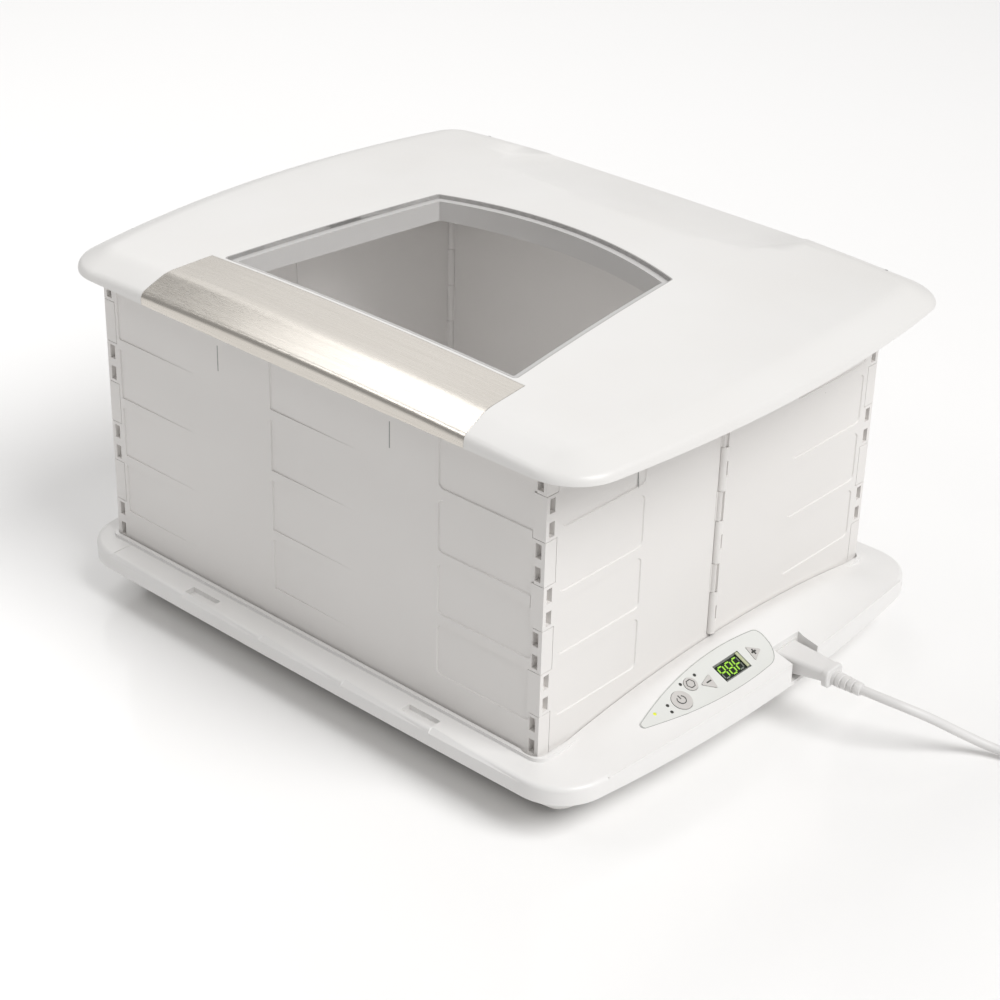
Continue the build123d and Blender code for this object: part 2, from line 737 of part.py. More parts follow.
def mid_levels():
    """Middle knuckles: (bottom, top, belongs to the rear half)."""
    rows, z, rear = [], mid_start, True
    while z < wall_height - 3:
        high = min(z + (mid_own if rear else mid_other), wall_height)
        rows.append((wall_bottom_z + z + knuckle_gap / 2, wall_bottom_z + high - knuckle_gap / 2, rear))
        z, rear = high, not rear
    return rows


def relief(width, height, fade):
    """A shallow box sunk in a panel's face, lying in XY with its top at z = 0."""
    if not fade:
        face = RectangleRounded(width, height, relief_corner)
        return extrude(face, amount=-relief_depth, taper=35)
    half = width / 2
    wedge = make_face(Polyline((-half, 0, 0), (-half + 0.6, 0, -relief_depth), (half, 0, 0), close=True))
    return Pos(0, height / 2, 0) * extrude(wedge, amount=height)


def relief_rows():
    """Middle height and height of each row of boxes, from the foot up."""
    rows = []
    low = relief_first
    while low < wall_height - relief_top_margin:
        high = min(low + relief_height, wall_height + relief_corner)
        rows.append((wall_bottom_z + (low + high) / 2, high - low))
        low += relief_pitch
    return rows


def end_panel(back):
    """Front or back panel: a plate with its corner knuckles and relief. The back
    panel holds both of its pins, and the front one holds neither."""
    y_out = -wall_depth / 2
    y_pin = y_out + pin_inset
    edge = corner_barrel + barrel_gap
    body = block(pin_left + edge, pin_right - edge, y_out, y_out + panel, wall_bottom_z, wall_top_z)
    for low, high, own in levels():
        if not own:
            continue
        for x_pin, x_out in ((pin_left, wall_left), (pin_right, wall_right)):
            side = 1 if x_out > x_pin else -1
            x0, x1 = sorted((x_pin - side * (edge + 1), x_out))
            x2, x3 = sorted((x_pin, x_out))
            body += block(x0, x1, y_out, y_pin, low, high)
            body += block(x2, x3, y_out, y_pin + corner_barrel, low, high)
            body += column(x_pin, y_pin, corner_barrel, low, high)
            for z in (low + 2 + slot_height / 2, high - 2 - slot_height / 2):
                x = x_out - side * slot_setback
                body -= block(x - slot_width / 2, x + slot_width / 2, y_out - 1, y_out + slot_depth,
                              z - slot_height / 2, z + slot_height / 2)
    bore = pin_radius + (pin_press if back else pin_play)
    for x_pin in (pin_left, pin_right):
        body -= column(x_pin, y_pin, bore, wall_bottom_z + pin_end, wall_top_z - pin_end)
    face = Plane(origin=(0, y_out, 0), x_dir=(1, 0, 0), z_dir=(0, -1, 0))
    for n, left in enumerate(relief_columns):
        x = wall_left + left + relief_width / 2
        for z, height in relief_rows():
            body -= Location(face) * Pos(x, z) * relief(relief_width, height, n < len(relief_columns) - 1)
    body &= block(-half_length, half_length, -half_depth, half_depth, wall_bottom_z, wall_top_z)
    return Rot(0, 0, 180) * Pos(-2 * wall_centre_x, 0, 0) * body if back else body


def side_half(rear):
    """A half of the right side wall, drawn at its front. A rear half holds the middle
    pin, and a front half holds the pin of the front corner."""
    edge = corner_barrel + barrel_gap
    y_pin = pin_front
    x_out = wall_right
    x_mid = x_out + mid_out
    body = block(x_out - panel, x_out, y_pin + edge, -hinge_gap / 2, wall_bottom_z, wall_top_z)
    for low, high, end_panels in levels():
        if end_panels:
            continue
        body += block(pin_right, x_out, y_pin, y_pin + edge + 1, low, high)
        body += block(pin_right - corner_barrel, x_out, y_pin - pin_inset, y_pin, low, high)
        body += column(pin_right, y_pin, corner_barrel, low, high)
        for z in (low + 2 + slot_height / 2, high - 2 - slot_height / 2):
            y = y_pin - pin_inset + slot_setback
            body -= block(x_out - slot_depth, x_out + 1, y - slot_width / 2, y + slot_width / 2,
                          z - slot_height / 2, z + slot_height / 2)
    corner_bore = pin_radius + (pin_play if rear else pin_press)
    body -= column(pin_right, y_pin, corner_bore, wall_bottom_z + pin_end, wall_top_z - pin_end)
    face = Plane(origin=(x_out, 0, 0), x_dir=(0, 1, 0), z_dir=(1, 0, 0))
    for z, height in relief_rows():
        y = y_pin + edge + 4 + relief_width / 2
        body -= Location(face) * Pos(y, z) * relief(relief_width, height, False)
    for low, high, is_rear in mid_levels():
        if is_rear == rear:
            body += column(x_mid, 0, mid_barrel, low, high)
            body += block(x_out - panel / 2, x_mid, -mid_barrel - 1, 0, low, high)
        else:
            body -= column(x_mid, 0, mid_barrel + barrel_gap, low - knuckle_gap, high + knuckle_gap)
        z, tall = (low + high) / 2, slot_height + 1 if is_rear else mid_other
        if is_rear == rear:
            x = x_mid + mid_barrel
            body -= block(x - mid_slot_depth, x + 1, -0.9 - mid_slot_width / 2,
                          -0.9 + mid_slot_width / 2, z - tall / 2, z + tall / 2)
    mid_bore = pin_radius + (pin_press if rear else pin_play)
    body -= column(x_mid, 0, mid_bore, wall_bottom_z + mid_start + pin_end, wall_top_z - pin_end)
    body &= block(-half_length, half_length, -half_depth, half_depth, wall_bottom_z, wall_top_z)
    return body


def side_panel(right, rear):
    body = side_half(rear)
    if rear:
        body = body.mirror(Plane.XZ)
    if not right:
        body = body.mirror(Plane(origin=(wall_centre_x, 0, 0), z_dir=(1, 0, 0)))
    return body


def corner_pin(x, y):
    return column(x, y, pin_radius, wall_bottom_z + pin_end + 0.2, wall_top_z - pin_end - 0.2)


def mid_pin(x):
    return column(x, 0, pin_radius, wall_bottom_z + mid_start + pin_end + 0.2,
                  wall_top_z - pin_end - 0.2)


# Lid

def dome(inset):
    """Block whose top is the lid's crown: one long arc carried round another."""
    axis_z = crown_z - crown_radius_x
    ry = crown_radius_y - inset
    reach = half_depth + 60
    top = lambda y: crown_z - inset - ry + math.sqrt(ry**2 - (y - crown_y) ** 2)
    arc = ThreePointArc((0, -reach, top(-reach)), (0, crown_y, crown_z - inset), (0, reach, top(reach)))
    low = lid_bottom_z - 20
    rest = Polyline((0, reach, top(reach)), (0, reach, low), (0, -reach, low), (0, -reach, top(-reach)))
    face = make_face([arc, *rest.edges()])
    swing = math.degrees(math.asin((half_length + 30) / crown_radius_x))
    axis = Axis((0, 0, axis_z), (0, 1, 0))
    return revolve(face.rotate(axis, -swing), axis, 2 * swing)


def crown_height(x, y, inset):
    """Height of the dome at a point, near enough for its cuts."""
    return (crown_z - inset - x**2 / (2 * crown_radius_x)
            - (y - crown_y) ** 2 / (2 * crown_radius_y))


def scoop(inset):
    """Slope cut into the back edge, where fingers go under the lid. Its ends run out
    in shallower slopes."""
    y0, y1 = half_depth - scoop_reach, half_depth + 20
    z0 = crown_height(0, y0, inset)
    fall = (z0 - crown_height(0, half_depth, inset) + scoop_depth) * (y1 - y0) / scoop_reach
    wide, top = scoop_half + scoop_run, crown_z + 20 - z0 + fall
    profile = Polyline((-scoop_half, 0), (scoop_half, 0), (wide, scoop_rise), (wide, top),
                       (-wide, top), (-wide, scoop_rise), close=True)
    face = Plane(origin=(scoop_x, y0, z0), x_dir=(1, 0, 0), z_dir=(0, -1, 0)) * make_face(profile)
    return extrude(face, amount=math.hypot(y1 - y0, fall), dir=(0, y1 - y0, -fall))


def lid_form(inset=0.0):
    """The lid's outer form, or the same form drawn in by an inset. A chamfer that keeps
    its slope under an inset shrinks by the factor below."""
    body = prism(inset, lid_bottom_z - 15, crown_z + 5) & dome(inset)
    top = body.faces().sort_by(Axis.Z)[-1]
    flat, steep = 1 / bevel_reach, 1 / bevel_drop
    shrink = 1 + inset * (math.hypot(flat, steep) - flat - steep)
    body = chamfer(top.edges(), bevel_reach * shrink, bevel_drop * shrink, reference=top)
    top = body.faces().sort_by(Axis.Z)[-1]
    body = fillet(top.edges(), bevel_crease - inset)
    sides = [face for face in body.faces() if face.bounding_box().min.Z < lid_bottom_z - 14]
    upright = [face for face in sides if face.geom_type == GeomType.CYLINDER]
    body = fillet([face.edges().sort_by(Axis.Z)[-1] for face in upright], bevel_edge - inset)
    body -= scoop(inset)
    return body & block(-300, 300, -300, 300, lid_bottom_z, crown_z + 5)


def mitre(first, second):
    """Shift of a corner that moves both its sides out by one, from their normals."""
    det = first[0] * second[1] - first[1] * second[0]
    return (second[1] - first[1]) / det, (first[0] - second[0]) / det


def window_outline(growth=0.0):
    lean = math.atan2(window_front_half - window_back_half, window_back - window_front)
    rise = math.asin(window_back_half / arc_radius(window_back_half, window_bow))
    side = math.cos(lean), math.sin(lean)
    at_front = mitre((0, -1), side)
    at_back = mitre(side, (math.sin(rise), math.cos(rise)))
    fh, f = window_front_half + growth * at_front[0], window_front + growth * at_front[1]
    bh, b = window_back_half + growth * at_back[0], window_back + growth * at_back[1]
    sides = [
        Line((-fh, f), (fh, f)),
        Line((fh, f), (bh, b)),
        ThreePointArc((bh, b), (0, window_back + window_bow + growth), (-bh, b)),
        Line((-bh, b), (-fh, f)),
    ]
    face = make_face(sides)
    return fillet(face.vertices(), max(window_corner + growth, window_corner / 2))


def window_prism(growth=0.0):
    return extrude(Pos(0, 0, lid_bottom_z) * window_outline(growth), amount=40)


def trim_zone(growth=0.0):
    """The front of the lid that the trim covers, a little narrower at the back."""
    front, back = -half_depth - 5, -half_depth + trim_depth + growth
    wide, narrow = trim_half_length + growth, trim_half_length - trim_taper + growth
    face = make_face(Polyline((-wide, front), (wide, front), (narrow, back), (-narrow, back), close=True))
    return extrude(Pos(0, 0, lid_bottom_z - 5) * face, amount=crown_z - lid_bottom_z + 10)


def build_lid():
    outer, inner = lid_form(), lid_form(lid_skin)
    shell = outer - inner
    under_trim = lid_form(trim_thickness)
    for x, y in lid_screw_spots:
        shell += column(x, y, boss_radius, liner_z + liner_thickness, crown_z) & under_trim
        hole_top = liner_z + liner_thickness + lid_screw_grip + 0.4
        shell -= column(x, y, screw_radius + screw_play, lid_bottom_z, hole_top)
    shell -= trim_zone(trim_gap) - under_trim
    shell -= window_prism(gasket_width)
    trim = trim_zone() & (outer - under_trim)
    under_window = lid_form(window_recess + window_thickness)
    window = window_prism() & (lid_form(window_recess) - under_window)
    gasket = (window_prism(gasket_width) - window_prism()) & (lid_form(gasket_recess) - under_window)

    slab = block(-half_length, half_length, -half_depth, half_depth, liner_z, liner_z + liner_thickness)
    liner = slab & lid_form(lid_skin + liner_gap)
    above = block(-half_length, half_length, -half_depth, half_depth, liner_z, crown_z)
    liner += window_prism(collar_width / 2) & under_window & above & lid_form(lid_skin + liner_gap)
    liner -= window_prism(-collar_width)
    for x in (-lug_x, lug_x):
        for y in (-1, 1):
            inner_y = wall_depth / 2 + lug_gap
            y0, y1 = sorted((y * inner_y, y * (inner_y + lug_width)))
            liner += block(x - lug_length / 2, x + lug_length / 2, y0, y1, liner_z - lug_height, liner_z)
    for y in (-lug_y, lug_y):
        for x0, x1 in ((wall_left - lug_gap - lug_width, wall_left - lug_gap),
                       (wall_right + lug_gap, wall_right + lug_gap + lug_width)):
            liner += block(x0, x1, y - lug_length / 2, y + lug_length / 2, liner_z - lug_height, liner_z)
    for x, y in lid_screw_spots:
        liner -= column(x, y, screw_radius + 0.2, liner_z - 1, crown_z)
    screws = Compound([screw(x, y, liner_z, liner_thickness + lid_screw_grip)
                       for x, y in lid_screw_spots])
    return {"lid_shell": shell, "steel_trim": trim, "lid_window": window,
            "window_gasket": gasket, "lid_liner": liner, "lid_screws": screws}


def build_base():
    return {
        "base_tray": finished_tray(),
        "bottom_cover": bottom_cover(),
        "rubber_feet": feet(),
        "cover_screws": cover_screws(),
        "heater_plate": heater_plate(),
        "heating_element": heating_element(),
        "insulation_pad": insulation_pad(),
        "temperature_sensor": temperature_sensor(),
        "thermal_fuse": thermal_fuse(),
        "control_panel": control_panel(),
        "display_lens": display_lens(),
        "display_module": display_module(),
        "display_digits": display_digits(),
        "indicator_leds": indicator_leds(),
        "control_board": control_board(),
        "board_screws": board_screws(),
        "button_switches": button_switches(),
        "power_inlet": power_inlet(),
        "inlet_pins": inlet_pins(),
        **{name: button(*spec) for name, spec in buttons.items()},
    }


def build_cord():
    return {
        "cord_connector": cord_connector(),
        "strain_relief": strain_relief(),
        "power_cord": cord_tube(cord_points),
        "cord_coil": cord_coil(),
        "cord_tail": cord_tube(tail_points),
        "coil_tie": coil_tie(),
        "mains_plug": mains_plug(),
        "plug_blades": plug_blades(),
    }


def build_walls():
    return {
        "back_panel": end_panel(True),
        "front_panel": end_panel(False),
        "right_rear_panel": side_panel(True, True),
        "right_front_panel": side_panel(True, False),
        "left_rear_panel": side_panel(False, True),
        "left_front_panel": side_panel(False, False),
        "back_right_pin": corner_pin(pin_right, pin_back),
        "back_left_pin": corner_pin(pin_left, pin_back),
        "front_right_pin": corner_pin(pin_right, pin_front),
        "front_left_pin": corner_pin(pin_left, pin_front),
        "right_middle_pin": mid_pin(wall_right + mid_out),
        "left_middle_pin": mid_pin(wall_left - mid_out),
    }


def main():
    os.makedirs("parts", exist_ok=True)
    inside = {"wire_rack": wire_rack(), "water_tray": water_tray()}
    pieces = {**build_base(), **inside, **build_walls(), **build_lid(), **build_cord()}
    for name, shape in pieces.items():
        export_step(shape, f"parts/{name}.step")
    print(len(pieces), "pieces")


main()
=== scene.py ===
import json
import math

import bmesh
import bpy
import numpy as np
from mathutils import Matrix, Vector
from mathutils.bvhtree import BVHTree
from mathutils.geometry import convex_hull_2d


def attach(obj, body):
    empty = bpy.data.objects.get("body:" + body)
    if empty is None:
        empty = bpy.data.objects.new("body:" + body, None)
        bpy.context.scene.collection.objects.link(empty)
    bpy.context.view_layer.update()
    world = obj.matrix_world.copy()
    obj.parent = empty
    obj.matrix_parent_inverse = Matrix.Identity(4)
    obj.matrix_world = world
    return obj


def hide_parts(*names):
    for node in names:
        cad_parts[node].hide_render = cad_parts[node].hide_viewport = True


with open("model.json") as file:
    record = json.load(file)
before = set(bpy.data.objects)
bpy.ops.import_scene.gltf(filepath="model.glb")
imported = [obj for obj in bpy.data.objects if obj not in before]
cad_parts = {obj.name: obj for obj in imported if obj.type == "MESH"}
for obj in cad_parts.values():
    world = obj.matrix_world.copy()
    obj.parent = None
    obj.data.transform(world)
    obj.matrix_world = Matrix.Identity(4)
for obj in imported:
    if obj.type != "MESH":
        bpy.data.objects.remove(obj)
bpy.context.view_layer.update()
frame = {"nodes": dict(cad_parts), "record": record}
nodes = frame["nodes"]
bodyOf = {node: body for body, group in frame["record"]["behaviour"]["bodies"].items() for node in group}


class Wire:
    # An output socket that takes part in arithmetic; each operator adds a Math node.
    def __init__(self, shader, socket):
        self.shader = shader
        self.socket = socket

    def maths(self, operation, first, second):
        return self.shader.add("ShaderNodeMath", {"operation": operation}, {0: first, 1: second})

    def __sub__(self, other):
        return self.maths("SUBTRACT", self, other)

    def __rsub__(self, other):
        return self.maths("SUBTRACT", other, self)

    def above(self, limit):
        return self.maths("GREATER_THAN", self, limit)


class Shader:
    # One material: its nodes are added by kind, settings and socket values.
    def __init__(self, name):
        self.material = bpy.data.materials.new(name)
        self.material.use_nodes = True
        self.tree = self.material.node_tree
        self.surface = self.tree.nodes["Principled BSDF"]
        self.place = self.add("ShaderNodeTexCoord", {}, {}, "Object")

    def feed(self, socket, value):
        if isinstance(value, Wire):
            self.tree.links.new(value.socket, socket)
        elif socket.type == "RGBA":
            socket.default_value = (*value[:3], 1)
        else:
            socket.default_value = value

    def add(self, kind, settings, values, output=0):
        node = self.tree.nodes.new(kind)
        for key, value in settings.items():
            setattr(node, key, value)
        for key, value in values.items():
            self.feed(node.inputs[key], value)
        return Wire(self, node.outputs[output])

    def stretched(self, scale):
        return self.add("ShaderNodeMapping", {}, {"Vector": self.place, "Scale": scale})

    def noise(self, scale, detail=2.0, along=None):
        vector = self.stretched(along) if along else self.place
        return self.add("ShaderNodeTexNoise", {}, {"Vector": vector, "Scale": scale, "Detail": detail})

    def across(self):
        return self.add("ShaderNodeSeparateXYZ", {}, {"Vector": self.place}, "Y")

    def blend(self, factor, first, second):
        return self.add("ShaderNodeMix", {"data_type": "RGBA"}, {0: factor, 6: first, 7: second}, 2)

    def spread(self, wire, low, high):
        # Stretches a noise's middle half over the range low to high.
        return self.add("ShaderNodeMapRange", {}, {0: wire, 1: 0.3, 2: 0.7, 3: low, 4: high})

    def bump(self, height, depth):
        return self.add("ShaderNodeBump", {}, {"Height": height, "Distance": depth})

    def finish(self, looks):
        for socket, value in looks.items():
            self.feed(self.surface.inputs[socket], value)
        return self.material


def plastic(name, look):
    # Moulded plastic: a fine spark-eroded grain, faint clouding and uneven gloss.
    s = Shader(name)
    cloud = s.spread(s.noise(look["cloudScale"], 3.0), 0.0, 1.0)
    grain = s.noise(look["grainScale"], 2.0)
    gloss = s.spread(s.noise(look["glossScale"], 3.0), look["gloss"][0], look["gloss"][1])
    return s.finish({
        "Base Color": s.blend(cloud, look["shade"], look["tint"]),
        "Roughness": gloss,
        "Normal": s.bump(grain, look["grainDepth"]),
    })


plasticLooks = {
    "lidPlastic": {
        "shade": (0.79, 0.775, 0.755), "tint": (0.81, 0.80, 0.785), "gloss": (0.30, 0.37),
        "cloudScale": 9.0, "glossScale": 30.0, "grainScale": 1800.0, "grainDepth": 0.00001,
    },
    "basePlastic": {
        "shade": (0.81, 0.80, 0.785), "tint": (0.83, 0.82, 0.81), "gloss": (0.31, 0.37),
        "cloudScale": 9.0, "glossScale": 30.0, "grainScale": 1800.0, "grainDepth": 0.00001,
    },
    "wallPlastic": {
        "shade": (0.77, 0.75, 0.73), "tint": (0.80, 0.78, 0.76), "gloss": (0.42, 0.50),
        "cloudScale": 7.0, "glossScale": 25.0, "grainScale": 1500.0, "grainDepth": 0.00002,
    },
    "linerPlastic": {
        "shade": (0.66, 0.65, 0.64), "tint": (0.69, 0.68, 0.67), "gloss": (0.45, 0.55),
        "cloudScale": 9.0, "glossScale": 30.0, "grainScale": 1500.0, "grainDepth": 0.00002,
    },
    # Grey plastic of the bottom cover, also darkened as painted shade under the rim; the mains inlet takes
    # it too.
    "coverGreyAndShade": {
        "shade": (0.70, 0.69, 0.67), "tint": (0.74, 0.73, 0.71), "gloss": (0.40, 0.50),
        "cloudScale": 9.0, "glossScale": 30.0, "grainScale": 1500.0, "grainDepth": 0.00002,
    },
    "panelPlastic": {
        "shade": (0.72, 0.725, 0.70), "tint": (0.74, 0.745, 0.72), "gloss": (0.33, 0.38),
        "cloudScale": 20.0, "glossScale": 60.0, "grainScale": 2400.0, "grainDepth": 0.000005,
    },
    "buttonPlastic": {
        "shade": (0.56, 0.54, 0.52), "tint": (0.60, 0.58, 0.56), "gloss": (0.40, 0.50),
        "cloudScale": 60.0, "glossScale": 90.0, "grainScale": 2400.0, "grainDepth": 0.00001,
    },
    "blackPlastic": {
        "shade": (0.015, 0.015, 0.015), "tint": (0.025, 0.025, 0.025), "gloss": (0.35, 0.50),
        "cloudScale": 40.0, "glossScale": 90.0, "grainScale": 2400.0, "grainDepth": 0.00001,
    },
    "boardGreen": {
        "shade": (0.02, 0.12, 0.05), "tint": (0.03, 0.17, 0.07), "gloss": (0.25, 0.40),
        "cloudScale": 150.0, "glossScale": 90.0, "grainScale": 900.0, "grainDepth": 0.00002,
    },
    "elementRubber": {
        "shade": (0.45, 0.13, 0.05), "tint": (0.52, 0.17, 0.07), "gloss": (0.50, 0.65),
        "cloudScale": 30.0, "glossScale": 60.0, "grainScale": 900.0, "grainDepth": 0.00003,
    },
    "padFelt": {
        "shade": (0.55, 0.53, 0.46), "tint": (0.68, 0.66, 0.58), "gloss": (0.85, 0.95),
        "cloudScale": 120.0, "glossScale": 60.0, "grainScale": 700.0, "grainDepth": 0.0003,
    },
    "footRubber": {
        "shade": (0.05, 0.05, 0.05), "tint": (0.08, 0.08, 0.08), "gloss": (0.70, 0.85),
        "cloudScale": 60.0, "glossScale": 60.0, "grainScale": 1200.0, "grainDepth": 0.00005,
    },
    "gasketRubber": {
        "shade": (0.42, 0.41, 0.40), "tint": (0.47, 0.46, 0.45), "gloss": (0.50, 0.65),
        "cloudScale": 60.0, "glossScale": 60.0, "grainScale": 1200.0, "grainDepth": 0.00003,
    },
    "printedInk": {
        "shade": (0.035, 0.035, 0.03), "tint": (0.05, 0.05, 0.045), "gloss": (0.45, 0.60),
        "cloudScale": 200.0, "glossScale": 90.0, "grainScale": 2400.0, "grainDepth": 0.00001,
    },
    "greyInk": {
        "shade": (0.30, 0.30, 0.29), "tint": (0.36, 0.36, 0.35), "gloss": (0.45, 0.60),
        "cloudScale": 200.0, "glossScale": 90.0, "grainScale": 2400.0, "grainDepth": 0.00001,
    },
    "lensEdge": {
        "shade": (0.42, 0.45, 0.26), "tint": (0.55, 0.57, 0.40), "gloss": (0.20, 0.30),
        "cloudScale": 300.0, "glossScale": 90.0, "grainScale": 2400.0, "grainDepth": 0.00001,
    },
    "cordPlastic": {
        "shade": (0.74, 0.73, 0.72), "tint": (0.78, 0.77, 0.76), "gloss": (0.38, 0.46),
        "cloudScale": 25.0, "glossScale": 60.0, "grainScale": 1500.0, "grainDepth": 0.00002,
    },
}


def metal(name, look):
    # Metal with a drawn or brushed finish: noise pulled out along one direction.
    s = Shader(name)
    line = s.noise(look["lineScale"], 4.0, look["along"])
    broad = s.noise(look["broadScale"], 2.0, look["along"])
    return s.finish({
        "Base Color": s.blend(s.spread(broad, 0.0, 1.0), look["shade"], look["tint"]),
        "Roughness": s.spread(line, look["gloss"][0], look["gloss"][1]),
        "Normal": s.bump(line, look["depth"]),
        "Metallic": 1.0,
    })


metalLooks = {
    "brushedTrim": {
        "shade": (0.64, 0.605, 0.555), "tint": (0.68, 0.645, 0.595), "gloss": (0.24, 0.32),
        "along": (0.012, 1.0, 1.0), "lineScale": 3600.0, "broadScale": 700.0, "depth": 0.000004,
    },
    "traySteel": {
        "shade": (0.58, 0.57, 0.56), "tint": (0.64, 0.63, 0.62), "gloss": (0.25, 0.40),
        "along": (0.02, 1.0, 1.0), "lineScale": 2000.0, "broadScale": 300.0, "depth": 0.00001,
    },
    "platedSteel": {
        "shade": (0.55, 0.55, 0.55), "tint": (0.62, 0.62, 0.62), "gloss": (0.25, 0.40),
        "along": (1.0, 1.0, 1.0), "lineScale": 1200.0, "broadScale": 200.0, "depth": 0.00001,
    },
    "rackChrome": {
        "shade": (0.72, 0.72, 0.72), "tint": (0.76, 0.76, 0.76), "gloss": (0.10, 0.18),
        "along": (1.0, 1.0, 1.0), "lineScale": 900.0, "broadScale": 100.0, "depth": 0.000005,
    },
    "plateAluminium": {
        "shade": (0.66, 0.66, 0.67), "tint": (0.72, 0.72, 0.73), "gloss": (0.35, 0.50),
        "along": (0.05, 1.0, 1.0), "lineScale": 1500.0, "broadScale": 120.0, "depth": 0.00002,
    },
    "platedBrass": {
        "shade": (0.60, 0.42, 0.16), "tint": (0.68, 0.50, 0.22), "gloss": (0.22, 0.34),
        "along": (1.0, 1.0, 1.0), "lineScale": 1200.0, "broadScale": 200.0, "depth": 0.00001,
    },
}

windowLook = {"tint": (0.30, 0.29, 0.285), "alpha": 0.06, "gloss": (0.02, 0.05)}
lensLook = {"tint": (0.03, 0.045, 0.03), "alpha": 0.30, "gloss": (0.04, 0.08)}


def clearSheet(name, look):
    # Clear plastic or glass: light goes straight through, and faint smears break its gloss.
    s = Shader(name)
    smear = s.noise(14.0, 4.0, (1.0, 0.4, 1.0))
    material = s.finish({
        "Base Color": look["tint"],
        "Roughness": s.spread(smear, look["gloss"][0], look["gloss"][1]),
        "Alpha": look["alpha"],
        "IOR": 1.49,
    })
    material.surface_render_method = "BLENDED"
    return material


def lamp(name, look):
    # A lit plastic, whose glow varies a little; pieces past the Y limit are unlit and dark. The unlit digit
    # bars use it too, for a painted glow that stands in for light falling on them.
    s = Shader(name)
    patch = s.spread(s.noise(300.0), 0.0, 1.0)
    lit = (look["litBelow"] - s.across()).above(0.0)
    glow = s.blend(patch, look["colour"], look["tint"])
    return s.finish({
        "Base Color": s.blend(lit, look["unlit"], glow), "Emission Strength": look["strength"],
        "Emission Color": s.blend(lit, (0.0, 0.0, 0.0), glow), "Roughness": 0.4,
    })


lampLooks = {
    "litDigit": {
        "colour": (0.45, 0.85, 0.08), "tint": (0.38, 0.74, 0.07), "unlit": (0.04, 0.04, 0.04),
        "litBelow": 1.0, "strength": 1.6,
    },
    # Unlit digit bars: their glow is painted light, not a lamp.
    "paintedGlowSegment": {
        "colour": (0.50, 0.52, 0.48), "tint": (0.42, 0.44, 0.40), "unlit": (0.04, 0.04, 0.04),
        "litBelow": 1.0, "strength": 0.45,
    },
    "litIndicator": {
        "colour": (0.55, 0.60, 0.05), "tint": (0.47, 0.51, 0.04), "unlit": (0.05, 0.05, 0.045),
        "litBelow": -0.0818, "strength": 0.5,
    },
}
materials = {name: plastic(name, look) for name, look in plasticLooks.items()}
materials.update({name: metal(name, look) for name, look in metalLooks.items()})
materials["windowGlass"] = clearSheet("windowGlass", windowLook)
materials["lensGlass"] = clearSheet("lensGlass", lensLook)
materials.update({name: lamp(name, look) for name, look in lampLooks.items()})
print("materials made", len(materials))


camera = {
    "place": (0.8832, -1.0038, 0.8231), "azimuth": -41.325, "elevation": -29.034,
    "roll": 1.528, "lens": 83.13,
}


def makeCamera():
    # Looks along azimuth (from +Y towards +X) and elevation, then rolls about that line.
    az, el, roll = (math.radians(camera[key]) for key in ("azimuth", "elevation", "roll"))
    ahead = Vector((math.sin(az) * math.cos(el), math.cos(az) * math.cos(el), math.sin(el)))
    level = ahead.cross(Vector((0, 0, 1))).normalized()
    rise = level.cross(ahead)
    right = level * math.cos(roll) + rise * math.sin(roll)
    up = rise * math.cos(roll) - level * math.sin(roll)
    data = bpy.data.cameras.new("camera")
    data.lens = camera["lens"]
    data.sensor_width = 36.0
    data.clip_start = 0.01
    holder = bpy.data.objects.new("camera", data)
    turn = Matrix((right, up, -ahead)).transposed().to_4x4()
    holder.matrix_world = Matrix.Translation(camera["place"]) @ turn
    bpy.context.scene.collection.objects.link(holder)
    bpy.context.scene.camera = holder


sun = {"from": (0.66, 0.05, 0.75), "angle": 34.0, "power": 2.25}
cards = [
    {"name": "backCard", "azimuth": 134.0, "height": 36.0, "wide": 1.4, "tall": 1.3, "glow": 0.75},
    {"name": "leftCard", "azimuth": 176.0, "height": 57.0, "wide": 1.5, "tall": 0.8, "glow": 1.9},
    {"name": "frontCard", "azimuth": 226.0, "height": 42.0, "wide": 0.8, "tall": 0.5, "glow": 3.1},
]
cardAim, cardDistance = Vector((0.0, -0.15, 0.25)), 2.2
floorLook = {"size": 30.0, "colour": (0.99, 0.985, 0.98), "gloss": (0.10, 0.16)}
sky = {"colour": (1.0, 0.99, 0.98), "strength": 0.36}


def addLight(name, kind, towards, place):
    # A light whose -Z looks away from the side that it stands on.
    data = bpy.data.lights.new(name, kind)
    holder = bpy.data.objects.new(name, data)
    holder.matrix_world = Matrix.Translation(place) @ towards.to_track_quat("Z", "Y").to_matrix().to_4x4()
    bpy.context.scene.collection.objects.link(holder)
    return data


def makeLights():
    key = addLight("keySun", "SUN", Vector(sun["from"]), Vector((0, 0, 2)))
    key.angle = math.radians(sun["angle"])
    key.energy = sun["power"]
    for card in cards:
        az, el = math.radians(card["azimuth"]), math.radians(card["height"])
        side = Vector((math.cos(az) * math.cos(el), math.sin(az) * math.cos(el), math.sin(el)))
        data = addLight(card["name"], "AREA", side, cardAim + cardDistance * side)
        data.shape = "RECTANGLE"
        data.size = card["wide"]
        data.size_y = card["tall"]
        data.energy = card["glow"] * math.pi * card["wide"] * card["tall"]


chamberLight = {"place": (0.0, -0.045, 0.232), "wide": 0.17, "tall": 0.12, "power": 0.22}


def makeChamberLight():
    # A soft light under the window that looks down into the chamber.
    data = addLight("chamberLight", "AREA", Vector((0, 0, 1)), chamberLight["place"])
    data.shape = "RECTANGLE"
    data.size = chamberLight["wide"]
    data.size_y = chamberLight["tall"]
    data.energy = chamberLight["power"]
    bpy.data.objects["chamberLight"].visible_camera = False


